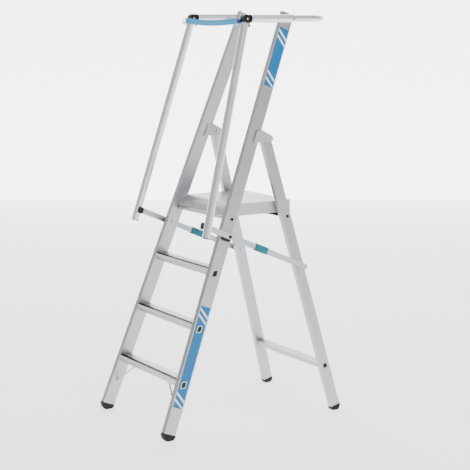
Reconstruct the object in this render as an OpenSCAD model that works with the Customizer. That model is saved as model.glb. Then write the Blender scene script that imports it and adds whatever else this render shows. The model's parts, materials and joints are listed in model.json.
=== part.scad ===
// Platform step ladder with a high guard rail, side handrails and folding side struts.
// Millimetres. +Z up, climber's side faces -Y, +X is the climber's right. Soles rest on z = 0.

/* [Front ladder] */
// Half of the outer width of the front ladder at the floor
front_half_w = 296.4; // [285:1:310]
// Distance of the front stile's front edge from the centre, at the floor
front_foot_y = 471.8; // [465:1:480]
// Rearward lean of the front stiles, degrees
front_lean = 20.86; // [20.4:0.02:21.2]
// Inward taper of each front stile, degrees
front_taper = 3.34; // [3.2:0.02:3.5]
// Depth of the front stile profile
stile_d = 59; // [56:0.5:62]
// Width of the front stile profile
stile_w = 24.6; // [22:0.2:26]
// Height of the stile tops above the floor
stile_top_z = 1800; // [1790:1:1830]

/* [Treads] */
// Vertical pitch of the treads
tread_pitch = 230; // [226:1:234]
// Depth of a tread, nose to rear edge
tread_depth = 60; // [50:1:62]
// Width of the black anti-slip strip on each nose
strip_w = 17; // [10:1:24]

/* [Rear frame] */
// Half of the outer width of the rear frame at the floor
rear_half_w = 292; // [285:1:300]
// Distance of the rear leg's rear edge from the centre, at the floor
rear_foot_y = 471.7; // [465:1:478]
// Forward lean of the rear legs, degrees
rear_lean = 15.29; // [15:0.01:15.5]
// Inward taper of each rear leg, degrees
rear_taper = 3.25; // [3.1:0.02:3.4]
// Depth of the rear leg profile
leg_d = 48; // [44:0.5:50]
// Width of the rear leg profile
leg_w = 24.6; // [22:0.2:26]
// Height of the rear rung
rung_z = 213; // [190:1:240]

/* [Platform] */
// Height of the standing surface
platform_z = 974; // [970:1:980]
// Outer width of the platform
platform_w = 396; // [390:1:398]
// Thickness of the platform skin
platform_t = 2.5; // [2:0.1:3]

/* [Guard rail and handrails] */
// Height of the guard rail's centre line
rail_z = 1768; // [1760:1:1772]
// Outer diameter of the rail sides and handrails
rail_dia = 34; // [32:0.5:35]
// Outer diameter of the rear bow
bow_dia = 29; // [27:0.5:29.4]
// Half distance between the centre lines of the rail sides
rail_half_w = 222; // [219:1:226]
// Centre line radius of the two bends of the rear bow
bow_r = 100; // [80:1:110]
// Half distance between the handrails at their lower joints
hand_low_x = 309; // [306:1:314]

/* [Side struts] */
// Distance of the strut's middle plane from the centre
strut_x = 272; // [271:0.2:273]
// Height of the strut profile
strut_h = 25; // [22:1:28]
// Length of the lock sleeve
sleeve_l = 66; // [50:1:80]

/* [Hidden] */
$fn = 48;
wall = 2;                    // skin of the box profiles
fit = 0.06;                  // radial clearance of every running pivot
bolt_fit = 0.12;             // radial clearance of a bolt in its plain hole
gap = 0.05;                  // clearance between touching flat ends

// Pivot points of the folding gear in the side view, [y, z]
hinge_p = [104.4, 1257];     // rear legs on the front stiles
strut_a = [-117.6, 848];     // front strut on the front stile
strut_e = [259.4, 685];      // rear strut on the rear leg
strut_b = [-247.6, 904];     // front strut to the handrail
strut_m = [-8, 802];         // the two struts to each other
rail_c = [-5.6, rail_z];     // handrail to the guard rail
rail_d = [232.4, rail_z];    // guard rail on the stile tops
axle_p = [-84.6, 916];       // platform on the front stiles
link_q = [62.4, 942];        // link in the platform
link_r = [204.4, 906.6];     // link on the rear leg

stile_run = tan(front_lean);
stile_in = tan(front_taper) / cos(front_lean);
leg_run = tan(rear_lean);
leg_in = tan(rear_taper) / cos(rear_lean);

// Outer half widths and edges of the profiles at height z
function stile_x(z) = front_half_w - stile_in * z;
function stile_y(z) = -front_foot_y + stile_run * z;
function leg_x(z) = rear_half_w - leg_in * z;
function leg_y(z) = rear_foot_y - leg_run * z;
// Outer half widths at a side view point p
function stile_xp(p) = front_half_w
  - tan(front_taper) * ((p[0] + front_foot_y) * sin(front_lean) + p[1] * cos(front_lean));
function leg_xp(p) = rear_half_w
  - tan(rear_taper) * ((rear_foot_y - p[0]) * sin(rear_lean) + p[1] * cos(rear_lean));

strut_ang = atan2(strut_e[1] - strut_b[1], strut_e[0] - strut_b[0]);
hand_len = norm([strut_b[0] - rail_c[0], strut_b[1] - rail_c[1]]);
hand_dir = [strut_b[0] - rail_c[0], strut_b[1] - rail_c[1]] / hand_len;
hand_spread = hand_low_x - rail_half_w;

alu = [0.78, 0.79, 0.81];
alu_dark = [0.62, 0.63, 0.66];
black = [0.06, 0.06, 0.065];
steel = [0.7, 0.71, 0.73];
teal = [0.07, 0.55, 0.64];
blue = [0.2, 0.7, 0.92];

// ---------------------------------------------------------------- helpers

// Cylinder along X between two x positions, in side view point p
module xcyl(x0, x1, r, p, fn = 40)
  translate([min(x0, x1), p[0], p[1]]) rotate([0, 90, 0]) cylinder(r = r, h = abs(x1 - x0), $fn = fn);

// Frame of a front stile: origin on its outer front edge at the floor
module stile_frame(side)
  translate([side * front_half_w, -front_foot_y, 0]) rotate([-front_lean, 0, 0])
    rotate([0, -side * front_taper, 0]) children();

// Frame of a rear leg: origin on its outer rear edge at the floor
module leg_frame(side)
  translate([side * rear_half_w, rear_foot_y, 0]) rotate([rear_lean, 0, 0])
    rotate([0, -side * rear_taper, 0]) children();

// Box from x = 0 (the outer face) inwards
module inward(side, x, w, y, d, z, h)
  translate([side > 0 ? -x - w : x, y, z]) cube([w, d, h]);

module below(z)
  translate([-600, -700, z - 300]) cube([1200, 1400, 300]);

// Rounded rectangle section
module round_rect(x, y, r)
  union() {
    translate([r, 0]) square([x - 2 * r, y]);
    translate([0, r]) square([x, y - 2 * r]);
    for (i = [r, x - r], j = [r, y - r]) translate([i, j]) circle(r = r, $fn = 24);
  }

// ---------------------------------------------------------------- front ladder

stile_len = stile_top_z / (cos(front_taper) * cos(front_lean));
plug_v = 28.2;               // middle of the tread tenon behind the stile's front edge
plug_w = 20;
plug_h = 23;

function tread_zk(k) = k * tread_pitch;
function tread_yk(k) = stile_y(tread_zk(k)) + plug_v / cos(front_lean);

// Tenon window of tread k, a level sheared square through the outer web
module plug_window(k, side, x0, x1, m = 0)
  translate([0, tread_yk(k), tread_zk(k)])
    multmatrix([[1, 0, 0, 0], [0, 1, stile_run, 0], [0, 0, 1, 0]])
      translate([side > 0 ? x0 : -x1, -plug_w / 2 - m, -plug_h / 2 - m])
        cube([x1 - x0, plug_w + 2 * m, plug_h + 2 * m]);

module front_stile(side) color(alu)
  difference() {
    stile_frame(side) difference() {
      translate([side > 0 ? -stile_w : 0, 0, 0]) linear_extrude(height = stile_len)
        round_rect(stile_w, stile_d, 1.5);
      inward(side, wall, stile_w - 2 * wall, wall, stile_d - 2 * wall, -1, stile_len + 2);
    }
    stile_frame(side) translate([-60, -20, -80]) cube([120, 120, 80 + foot_l]);
    for (k = [1, 2, 3]) plug_window(k, side, stile_x(tread_zk(k)) - 6, stile_x(tread_zk(k)) + 6);
    xcyl(side * 150, side * 260, 4 + bolt_fit, axle_p);
    xcyl(side * 120, side * 230, 4 + bolt_fit, rail_d);
    xcyl(side * 200, side * 260, 3 + bolt_fit, strut_a);
  }
module front_stile_left() front_stile(-1);
module front_stile_right() front_stile(1);

// Tread section: flat top, tapered belly, hollow
nose_y = -plug_v / cos(front_lean) + stile_run * 20.5;
module tread_section(t) {
  y0 = nose_y; y1 = nose_y + tread_depth;
  polygon([[y0 + t, 20.5 - t], [y0 + t, 11 + t * 0.4], [-11 + t * 0.6, -11.5 + t], [11 - t * 0.6, -11.5 + t],
    [y1 - t, 11 + t * 0.4], [y1 - t, 20.5 - t]]);
}
module tread(k) color(alu)
  difference() {
    translate([-300, tread_yk(k), tread_zk(k)]) rotate([90, 0, 90]) linear_extrude(height = 600)
      difference() {
        tread_section(0);
        tread_section(2);
      }
    for (s = [-1, 1]) stile_frame(s)
      translate([s > 0 ? -stile_w - gap : -200 + stile_w + gap, -40, 0]) cube([200, 160, 1100]);
    translate([-300, tread_yk(k) + nose_y + 2.5, tread_zk(k) + 19.9]) cube([600, strip_w, 2]);
  }
module tread_low() tread(1);
module tread_middle() tread(2);
module tread_upper() tread(3);

// Ribbed black strip let into the nose of tread k
module strip(k) color(black)
  difference() {
    translate([-300, tread_yk(k) + nose_y + 2.5, tread_zk(k) + 19.9]) cube([600, strip_w, 1.8]);
    for (i = [1 : 4]) translate([-300, tread_yk(k) + nose_y + 2.5 + i * strip_w / 5 - 0.6, tread_zk(k) + 21.1])
      cube([600, 1.2, 2]);
    for (s = [-1, 1]) stile_frame(s)
      translate([s > 0 ? -stile_w - 1 : -200 + stile_w + 1, -40, 0]) cube([200, 160, 1100]);
  }
module tread_strips() for (k = [1, 2, 3]) strip(k);

// Square end plugs in the outer webs, one at each end of each tread
module tread_plugs() color(black)
  for (s = [-1, 1], k = [1, 2, 3]) intersection() {
    plug_window(k, s, stile_x(tread_zk(k)) - 6, stile_x(tread_zk(k)) + 6, -0.1);
    stile_frame(s) inward(s, -0.8, 2.6, 0, stile_d, 0, 1200);
  }

// Thin diagonal stay from the lowest tread down to the stile
brace_top = [160, 218];      // x, z
brace_low = [262, 133];
module low_brace(side) color(alu_dark) {
  yt = tread_yk(1);
  yl = stile_y(brace_low[1]) + 32;
  a = [side * brace_top[0], yt, brace_top[1] - 4.6];
  b = [side * brace_low[0], yl, brace_low[1]];
  v = b - a; l = norm(v);
  difference() {
    union() {
      translate(a) rotate([0, acos(v[2] / l), atan2(v[1], v[0])]) cylinder(d = 8, h = l + 30, $fn = 24);
      translate([side * brace_top[0], yt, tread_zk(1) - 11.5 - 8]) cylinder(d = 18, h = 8 - gap, $fn = 24);
    }
    stile_frame(side)
      translate([side > 0 ? -stile_w - gap : -200 + stile_w + gap, -40, 0]) cube([200, 160, 400]);
  }
}
module low_brace_left() low_brace(-1);
module low_brace_right() low_brace(1);

// Foot: a half-round block under the profile's end with a level flat sole, and a plug inside
foot_z = 28;                 // height of the front foot's round above the floor
foot_r = stile_d / 2 + 1.5;
foot_l = (foot_z + stile_d / 2 * sin(front_lean)) / (cos(front_lean) * cos(front_taper));
module foot_blank(side, w, r, yc, l, d) {
  intersection() {
    translate([side > 0 ? -w - 1 : -1, yc, l]) rotate([0, 90, 0]) cylinder(r = r, h = w + 2, $fn = 96);
    translate([side > 0 ? -w - 1 : -1, yc - 60, l - 60 - gap]) cube([w + 2, 120, 60]);
  }
  inward(side, wall + gap, w - 2 * wall - 2 * gap, yc - d / 2 + wall + gap, d - 2 * wall - 2 * gap, l - 1, 26);
}
module front_boot(side) color(black)
  difference() {
    stile_frame(side) foot_blank(side, stile_w, foot_r, stile_d / 2, foot_l, stile_d);
    below(0);
  }
module front_boot_left() front_boot(-1);
module front_boot_right() front_boot(1);

// Hinge bracket: two cheeks with pads on the stile's webs that carry the rear leg
cheek_t = 2.5;
cheek_gap = 0.4;
module cheek_outline()
  polygon([[stile_y(1238) + 36, 1238], [stile_y(1290) + 36, 1290], [83, 1291], [135.4, 1262], [138, 1246],
    [126, 1238]]);
module cheek(x0)
  translate([x0, 0, 0]) rotate([90, 0, 90]) linear_extrude(height = cheek_t) cheek_outline();
hinge_out = max(stile_x(1210), leg_x(1210)) + cheek_gap;
hinge_in = min(stile_x(1300), leg_x(1290)) - stile_w - 1.2;
module hinge_pad(side, x)
  difference() {
    intersection() {
      translate([side > 0 ? x : -x - 8.2, 0, 0]) rotate([90, 0, 90]) linear_extrude(height = 8.2) cheek_outline();
      stile_frame(side) translate([-60, 0, 1100]) cube([120, stile_d - 1, 500]);
    }
    stile_frame(side) children();
  }
module stile_hinge(side) color(alu)
  difference() {
    union() {
      cheek(side > 0 ? hinge_out : -hinge_out - cheek_t);
      cheek(side > 0 ? hinge_in - cheek_t : -hinge_in);
      hinge_pad(side, hinge_out - 8) inward(side, -gap, 80, -10, 100, 1100, 400);
      hinge_pad(side, hinge_in - 0.2) inward(side, -20, stile_w + gap + 20, -10, 100, 1100, 400);
    }
    xcyl(-260, 260, 4 + bolt_fit, hinge_p);
  }
module stile_hinge_left() stile_hinge(-1);
module stile_hinge_right() stile_hinge(1);

module hinge_bolts() color(steel)
  for (s = [-1, 1]) {
    union() {
      xcyl(s * (hinge_in - cheek_t - 3), s * (hinge_out + cheek_t + 2), 4, hinge_p);
      xcyl(s * (hinge_in - cheek_t - 5), s * (hinge_in - cheek_t - gap), 7, hinge_p);
      xcyl(s * (hinge_out + cheek_t + gap), s * (hinge_out + cheek_t + 3), 7, hinge_p);
    }
  }

// Bolts on which the platform tube turns, heads let into the outer web
pin_x1 = stile_xp(axle_p);
module platform_bolts() color(black)
  for (s = [-1, 1]) difference() {
    union() {
      xcyl(s * 180, s * (pin_x1 + 1), 4, axle_p);
      xcyl(s * (pin_x1 + 0.8), s * (pin_x1 + 3), 7, axle_p);
      xcyl(s * (pin_x1 - stile_w - 1.0), s * (platform_w / 2 + 9.4), 8, axle_p);
    }
    xcyl(s * (pin_x1 - 2), s * (pin_x1 + 6), 3, axle_p, 6);
  }

// Black spacer that holds a strut off the frame; on the stile it shows a lip below the strut
strut_w = 14;
strut_wall = 2;
spacer_x1 = strut_x - strut_w / 2 - 0.3;
module spacer(side, p, x0, r, lip)
  difference() {
    translate([side > 0 ? x0 : -spacer_x1, p[0], p[1]]) rotate([90, 0, 90]) linear_extrude(height = spacer_x1 - x0)
      rotate([0, 0, strut_ang]) union() {
        circle(r = r, $fn = 40);
        if (lip) polygon([[-20, -8], [-16, -20], [-8, -23], [8, -23], [16, -20], [20, -8]]);
      }
    xcyl(side * (x0 - 2), side * (x0 + 17), 3 + bolt_fit, p);
    children();
  }
module stile_spacer(side) color(black) {
  spacer(side, strut_a, stile_xp(strut_a) - 6, 13.5, true)
    stile_frame(side) inward(side, -gap, 80, -60, 200, 700, 400);
  xcyl(side * (spacer_x1 - 2), side * (strut_x + strut_w / 2 + 1), 4, strut_a);
  xcyl(side * (strut_x + strut_w / 2 + 0.3), side * (strut_x + strut_w / 2 + 2.6), 7, strut_a);
}
module stile_spacer_left() stile_spacer(-1);
module stile_spacer_right() stile_spacer(1);

// Screw through a profile into the spacer, its head on the inner web
module spacer_screw(side, p, xi) difference() {
  union() {
    xcyl(side * (xi - 1), side * (xi + 34), 2.95, p, 24);
    xcyl(side * (xi - 3), side * (xi - 0.8), 6, p, 30);
  }
  xcyl(side * (xi - 5), side * (xi - 1.8), 2.4, p, 6);
}
module stile_screws() color(steel)
  for (s = [-1, 1]) spacer_screw(s, strut_a, stile_xp(strut_a) - stile_w - 0.1);

// Bolts and spacers on which the guard rail turns at the stile tops
rail_in_x = rail_half_w - rail_dia / 2;
module rail_bolts() color(steel)
  for (s = [-1, 1]) union() {
    x0 = stile_xp(rail_d) - stile_w;
    xcyl(s * (x0 - 2), s * (rail_half_w + rail_dia / 2 + 1), 4, rail_d);
    xcyl(s * (x0 - 5.5), s * (x0 - 1.2), 7, rail_d, 6);
    xcyl(s * (rail_half_w + rail_dia / 2 + 0.4), s * (rail_half_w + rail_dia / 2 + 4), 7, rail_d);
  }
module rail_spacers() color(black)
  for (s = [-1, 1]) difference() {
    xcyl(s * (stile_xp(rail_d) - 6), s * (rail_in_x - 0.4), 11, rail_d);
    xcyl(s * 100, s * 260, 4 + bolt_fit, rail_d);
    stile_frame(s) inward(s, -gap, 60, -60, 200, 1700, 400);
  }

// ---------------------------------------------------------------- rear frame

module rear_leg(side) color(alu)
  difference() {
    leg_frame(side) difference() {
      translate([side > 0 ? -leg_w : 0, -leg_d, 0]) linear_extrude(height = 1420) round_rect(leg_w, leg_d, 1.5);
      inward(side, wall, leg_w - 2 * wall, -leg_d + wall, leg_d - 2 * wall, -1, 1422);
    }
    leg_frame(side) translate([-60, -100, -80]) cube([120, 140, 80 + leg_foot_l]);
    // top end, cut clear of the stile
    translate([-400, hinge_p[0], hinge_p[1] + 15]) rotate([-front_lean, 0, 0]) translate([0, -200, 0]) cube([800, 400, 300]);
    for (s = [-1, 1]) translate([0, stile_y(0) + stile_d / cos(front_lean) + 1.2, 0]) rotate([-front_lean, 0, 0])
      translate([-400, -300, 1100]) cube([800, 300, 500]);
    leg_window(side);
    xcyl(-260, 260, 4 + fit, hinge_p);
    xcyl(side * 150, side * 260, 4 + bolt_fit, link_r);
    xcyl(side * 200, side * 280, 3 + bolt_fit, strut_e);
  }
module rear_leg_left() rear_leg(-1);
module rear_leg_right() rear_leg(1);

rung_c = [leg_y(rung_z) - leg_d / 2 / cos(rear_lean), rung_z];
rung_h = 24;
rung_d = 31;
module rung_blank(x0, x1, m = 0)
  translate([x0, rung_c[0], rung_c[1]]) rotate([rear_lean, 0, 0])
    translate([0, -rung_d / 2 - m, -rung_h / 2 - m]) cube([x1 - x0, rung_d + 2 * m, rung_h + 2 * m]);
module rear_rung() color(alu)
  difference() {
    rung_blank(-300, 300);
    rung_blank(-301, 301, -2);
    for (s = [-1, 1]) leg_frame(s)
      translate([s > 0 ? -leg_w - gap : -200 + leg_w + gap, -140, 0]) cube([200, 220, 500]);
  }

// Square end plugs of the rear rung
rplug = 19;
module rplug_blank(side, x0, x1, m = 0)
  translate([side > 0 ? x0 : -x1, rung_c[0], rung_c[1]]) rotate([rear_lean, 0, 0])
    translate([0, -rplug / 2 - m, -rplug / 2 - m]) cube([x1 - x0, rplug + 2 * m, rplug + 2 * m]);
module leg_window(side) rplug_blank(side, leg_x(rung_z) - 6, leg_x(rung_z) + 6);
module rung_plugs() color(black)
  for (s = [-1, 1]) difference() {
    intersection() {
      rplug_blank(s, leg_x(rung_z) - 6, leg_x(rung_z) + 6, -0.1);
      leg_frame(s) inward(s, -0.8, 2.6, -leg_d, leg_d, 0, 500);
    }
    rplug_blank(s, leg_x(rung_z) - 0.6, leg_x(rung_z) + 6, -4);
  }

leg_foot_z = 22;
leg_foot_r = leg_d / 2 + 1.5;
leg_foot_l = (leg_foot_z + leg_d / 2 * sin(rear_lean)) / (cos(rear_lean) * cos(rear_taper));
module rear_boot(side) color(black)
  difference() {
    leg_frame(side) foot_blank(side, leg_w, leg_foot_r, -leg_d / 2, leg_foot_l, leg_d);
    below(0);
  }
module rear_boot_left() rear_boot(-1);
module rear_boot_right() rear_boot(1);

module leg_spacer(side) color(black)
  spacer(side, strut_e, leg_xp(strut_e) - 6, 11, false)
    leg_frame(side) inward(side, -gap, 80, -200, 300, 500, 400);
module leg_spacer_left() leg_spacer(-1);
module leg_spacer_right() leg_spacer(1);

// Pegs through the rear legs that carry the platform links
link_x0 = 185;
link_x1 = 190;
peg_x1 = leg_xp(link_r);
module platform_pegs() color(black)
  for (s = [-1, 1]) difference() {
    union() {
      xcyl(s * (link_x1 + 0.4), s * (peg_x1 + 1), 4, link_r);
      xcyl(s * (peg_x1 + 0.8), s * (peg_x1 + 3), 7, link_r);
      xcyl(s * (link_x1 + 0.4), s * (peg_x1 - leg_w - 0.8), 6.5, link_r);
    }
    xcyl(s * (peg_x1 - 2), s * (peg_x1 + 6), 3, link_r, 6);
  }

module leg_screws() color(steel)
  for (s = [-1, 1]) spacer_screw(s, strut_e, leg_xp(strut_e) - leg_w - 0.1);

// ---------------------------------------------------------------- platform

plat_front = -82.6;          // front face of the platform
plat_rear = 246;
plat_nose_r = 53;
module plat_side(t, drop)
  intersection() {
    union() {
      translate([plat_front + plat_nose_r, platform_z - plat_nose_r]) circle(r = plat_nose_r - t, $fn = 96);
      translate([plat_front + plat_nose_r, platform_z - plat_nose_r - 20])
        square([plat_rear - t - plat_front - plat_nose_r, plat_nose_r + 20 - t]);
      translate([plat_front + t, platform_z - plat_nose_r - 20]) square([plat_nose_r, 20]);
    }
    translate([-200, platform_z - plat_nose_r - drop]) square([600, 200]);
  }
module platform_tray() color(alu)
  difference() {
    union() {
      difference() {
        translate([-platform_w / 2, 0, 0]) rotate([90, 0, 90]) linear_extrude(height = platform_w) plat_side(0, 0);
        translate([-platform_w / 2 + platform_t, 0, 0]) rotate([90, 0, 90])
          linear_extrude(height = platform_w - 2 * platform_t) plat_side(platform_t, 40);
      }
      // two stiffening ribs under the deck
      for (y = [-20, 130]) translate([-platform_w / 2 + platform_t - 0.1, y, platform_z - 16])
        cube([platform_w - 2 * platform_t + 0.2, 2.5, 15]);
    }
    xcyl(-300, 300, platform_tube_r + gap, axle_p);
    for (s = [-1, 1]) {
      xcyl(s * 184, s * 230, 4 + bolt_fit, link_q);
    }
    // room for the links
    for (s = [-1, 1]) translate([s > 0 ? link_x0 - 6 : -link_x1 - 1, link_q[0] - 100, platform_z - 20])
      cube([link_x1 - link_x0 + 7, 260, 17.5]);
    // shallow grooves across the deck
    for (i = [0 : 12]) translate([-platform_w / 2 - 1, plat_front + plat_nose_r + 6 + i * 20, platform_z - 0.7])
      cube([platform_w + 2, 2.4, 2]);
  }

platform_tube_r = 9;
module platform_tube() color(alu_dark)
  difference() {
    xcyl(-platform_w / 2 - 9, platform_w / 2 + 9, platform_tube_r, axle_p);
    xcyl(-260, 260, 4 + fit, axle_p);
  }

module link_rivets() color(steel)
  for (s = [-1, 1]) union() {
    xcyl(s * (link_x0 - 1), s * (platform_w / 2), 4, link_q);
    xcyl(s * (link_x0 - 4), s * (link_x0 - 0.5), 6.5, link_q);
    xcyl(s * (link_x1 + 0.5), s * (platform_w / 2 - platform_t - gap), 6.5, link_q);
    xcyl(s * (platform_w / 2), s * (platform_w / 2 + 1.4), 6.5, link_q);
  }

link_len = norm([link_r[0] - link_q[0], link_r[1] - link_q[1]]);
module platform_link(side) color(black)
  difference() {
    translate([side > 0 ? link_x0 : -link_x1, link_q[0], link_q[1]]) rotate([90, 0, 90])
      linear_extrude(height = link_x1 - link_x0)
        rotate([0, 0, atan2(link_r[1] - link_q[1], link_r[0] - link_q[0])]) union() {
          translate([0, -7.5]) square([link_len, 15]);
          circle(r = 9.5, $fn = 48);
          translate([link_len, 0]) circle(r = 9.5, $fn = 48);
        }
    xcyl(-260, 260, 4 + fit, link_q);
  }
module platform_link_left() platform_link(-1);
module platform_link_right() platform_link(1);

// ---------------------------------------------------------------- side struts

// Frame of a strut: origin at the middle joint, +Y along the strut towards the rear leg
module strut_frame(side)
  translate([side * strut_x, strut_m[0], strut_m[1]]) rotate([strut_ang, 0, 0]) children();
strut_front_l = norm([strut_b[0] - strut_m[0], strut_b[1] - strut_m[1]]);
strut_rear_l = norm([strut_e[0] - strut_m[0], strut_e[1] - strut_m[1]]);
front_end = 20.5;              // reach of the front strut's channel past the middle joint
rear_start = 21;             // where the rear strut takes its full section
rear_w = strut_w - 2 * strut_wall - 0.8;
boss_x = hand_low_x - rail_dia / 2 - 1.6;
strut_gap = 5;               // the tube starts this far inside the handrail joint

module strut_front(side) color(alu)
  difference() {
    union() {
      strut_frame(side) difference() {
        intersection() {
          translate([-strut_w / 2, -strut_front_l + strut_gap, -strut_h / 2])
            cube([strut_w, strut_front_l - strut_gap + front_end, strut_h]);
          union() {
            translate([-strut_w, -strut_front_l - 1, -strut_h]) cube([2 * strut_w, strut_front_l + 1, 2 * strut_h]);
            translate([-strut_w, 0, 0]) rotate([0, 90, 0]) cylinder(r = front_end, h = 2 * strut_w, $fn = 96);
          }
        }
        // channel open on its underside around the middle joint
        translate([-strut_w / 2 + strut_wall, -24, -strut_h / 2 - 1])
          cube([strut_w - 2 * strut_wall, front_end + 30, strut_h + 1 - strut_wall]);
        translate([-strut_w / 2 + strut_wall, -strut_front_l, -strut_h / 2 + strut_wall])
          cube([strut_w - 2 * strut_wall, strut_front_l - 28, strut_h - 2 * strut_wall]);
      }
      xcyl(side * (strut_x - strut_w / 2 - 1.6), side * (strut_x + strut_w / 2 + 1.6), 3.5, strut_m);
    }
    xcyl(-300, 300, 4 + fit, strut_a);
  }
module strut_front_left() strut_front(-1);
module strut_front_right() strut_front(1);

module strut_rear(side) color(alu)
  difference() {
    union() {
      strut_frame(side) {
        translate([-rear_w / 2, 0, -7.5]) cube([rear_w, rear_start + 10, 15]);
        translate([-strut_w / 2, rear_start, -strut_h / 2]) cube([strut_w, strut_rear_l + 16 - rear_start, strut_h]);
        translate([0, strut_rear_l + 16, 0]) intersection() {
          translate([-strut_w / 2, 0, 0]) rotate([0, 90, 0]) cylinder(r = strut_h / 2 + 0.3, h = strut_w, $fn = 64);
          translate([-strut_w / 2, -1, -strut_h / 2]) cube([strut_w, 20, strut_h]);
        }
      }
      xcyl(side * (strut_x - rear_w / 2), side * (strut_x + rear_w / 2), 9.5, strut_m);
      xcyl(side * (strut_x + strut_w / 2 - 1), side * (strut_x + strut_w / 2 + 2.3), 7, strut_e);
    }
    xcyl(-300, 300, 3.5 + fit, strut_m);
  }
module strut_rear_left() strut_rear(-1);
module strut_rear_right() strut_rear(1);

// Teal sleeve that slides along the rear strut beside the middle joint
sleeve_y = 21.5;
sleeve_t = 3;
module lock_sleeve(side) color(teal)
  strut_frame(side) difference() {
    translate([-strut_w / 2 - sleeve_t - 0.4, sleeve_y, -strut_h / 2 - sleeve_t - 0.4]) rotate([-90, 0, 0])
      translate([0, -strut_h - 2 * sleeve_t - 0.8, 0])
        linear_extrude(height = sleeve_l) round_rect(strut_w + 2 * sleeve_t + 0.8, strut_h + 2 * sleeve_t + 0.8, 4);
    translate([-strut_w / 2 - 0.4, sleeve_y - 1, -strut_h / 2 - 0.4]) cube([strut_w + 0.8, sleeve_l + 2, strut_h + 0.8]);
  }
module lock_sleeve_left() lock_sleeve(-1);
module lock_sleeve_right() lock_sleeve(1);

// ---------------------------------------------------------------- guard rail

rail_seam = 240;             // rear end of the side tubes
rail_front = 20;             // front end of the side tubes
bow_y = 334;                 // where the bends of the rear bow begin
bow_in = 176;                // front end of the bow tube inside the side tubes
module rail_side(side) color(alu)
  difference() {
    translate([side * rail_half_w, rail_front, rail_z]) rotate([-90, 0, 0]) difference() {
      cylinder(d = rail_dia, h = rail_seam - rail_front, $fn = 64);
      translate([0, 0, -1]) cylinder(d = rail_dia - 4, h = rail_seam - rail_front + 2, $fn = 64);
    }
    xcyl(-300, 300, 4 + fit, rail_d);
  }
module rail_side_left() rail_side(-1);
module rail_side_right() rail_side(1);

module bend(r_out) rotate_extrude(angle = 90, $fn = 96) translate([bow_r, 0]) circle(d = r_out, $fn = 48);
module bow_solid(d, e = 0) {
  for (s = [-1, 1]) translate([s * rail_half_w, bow_in - e, rail_z]) rotate([-90, 0, 0])
    cylinder(d = d, h = bow_y - bow_in + e, $fn = 48);
  translate([rail_half_w - bow_r, bow_y, rail_z]) bend(d);
  translate([-rail_half_w + bow_r, bow_y, rail_z]) rotate([0, 0, 90]) bend(d);
  translate([-rail_half_w + bow_r, bow_y + bow_r, rail_z]) rotate([0, 90, 0])
    cylinder(d = d, h = 2 * (rail_half_w - bow_r), $fn = 48);
}
module rail_bow() color(alu)
  difference() {
    bow_solid(bow_dia);
    bow_solid(bow_dia - 4, 1);
    xcyl(-300, 300, 4 + fit, rail_d);
  }

// Black knuckle at the rail's front end: a plug in the tube and a flat ear
ear_t = 12;
ear_r = 18.5;
module rail_knuckle(side) color(black)
  difference() {
    union() {
      xcyl(side * (rail_half_w - ear_t / 2), side * (rail_half_w + ear_t / 2), ear_r, rail_c);
      translate([side * rail_half_w - ear_t / 2, rail_c[0], rail_z - 12.5]) cube([ear_t, 22, 25]);
      translate([side * rail_half_w, rail_front - 7, rail_z]) rotate([-90, 0, 0]) cylinder(d = rail_dia + 1, h = 7 - gap, $fn = 48);
      translate([side * rail_half_w, rail_front - 1, rail_z]) rotate([-90, 0, 0]) cylinder(d = rail_dia - 4 - 2 * gap, h = 28, $fn = 48);
      // small lock pin that hangs below the ear
      translate([side * rail_half_w, rail_c[0] + 18.5, rail_z - 35]) cylinder(d = 7, h = 24, $fn = 24);
      translate([side * rail_half_w, rail_c[0] + 18.5, rail_z - 36]) cylinder(d = 9, h = 8, $fn = 24);
      // pivot pin
      xcyl(side * (rail_half_w - ear_t / 2 - fork_t - 1), side * (rail_half_w + ear_t / 2 + fork_t + 1), 4, rail_c);
    }
    translate([side * rail_half_w, rail_front + 6, rail_z]) rotate([-90, 0, 0]) cylinder(d = 22, h = 28, $fn = 48);
  }
module rail_knuckle_left() rail_knuckle(-1);
module rail_knuckle_right() rail_knuckle(1);

// ---------------------------------------------------------------- handrails

hand_tilt = atan(hand_spread / hand_len);
hand_ang = atan2(-hand_dir[0], hand_dir[1]);
// Frame of a handrail: origin at its top pivot, +Z down along the handrail
module hand_frame(side)
  translate([side * rail_half_w, rail_c[0], rail_z]) rotate([hand_ang, 0, 0]) rotate([0, side * hand_tilt, 0]) children();
hand_top = 19;
hand_low = norm([hand_len, hand_spread]) + 46;
module handrail(side) color(alu)
  hand_frame(side) translate([0, 0, hand_top]) difference() {
    cylinder(d = rail_dia, h = hand_low - hand_top, $fn = 64);
    translate([0, 0, -1]) cylinder(d = rail_dia - 4, h = hand_low - hand_top + 2, $fn = 64);
  }
module handrail_left() handrail(-1);
module handrail_right() handrail(1);

// Black fork at the top of the handrail that takes the ear between its cheeks
fork_t = 7;
module handrail_fork(side) color(black)
  difference() {
    union() {
      for (e = [-1, 1]) {
        x0 = side * rail_half_w + e * (ear_t / 2 + 0.3);
        xcyl(x0, x0 + e * fork_t, ear_r, rail_c, 48);
      }
      difference() {
        hand_frame(side) {
          translate([0, 0, 6]) cylinder(d = rail_dia - 1, h = hand_top - 6 - gap, $fn = 48);
          translate([0, 0, hand_top - 0.5]) cylinder(d = rail_dia - 4 - 2 * gap, h = 26, $fn = 48);
        }
        xcyl(side * (rail_half_w - ear_t / 2 - 0.3), side * (rail_half_w + ear_t / 2 + 0.3), ear_r + 0.6, rail_c);
      }
    }
    xcyl(-300, 300, 4 + fit, rail_c);
  }
module handrail_fork_left() handrail_fork(-1);
module handrail_fork_right() handrail_fork(1);

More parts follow.
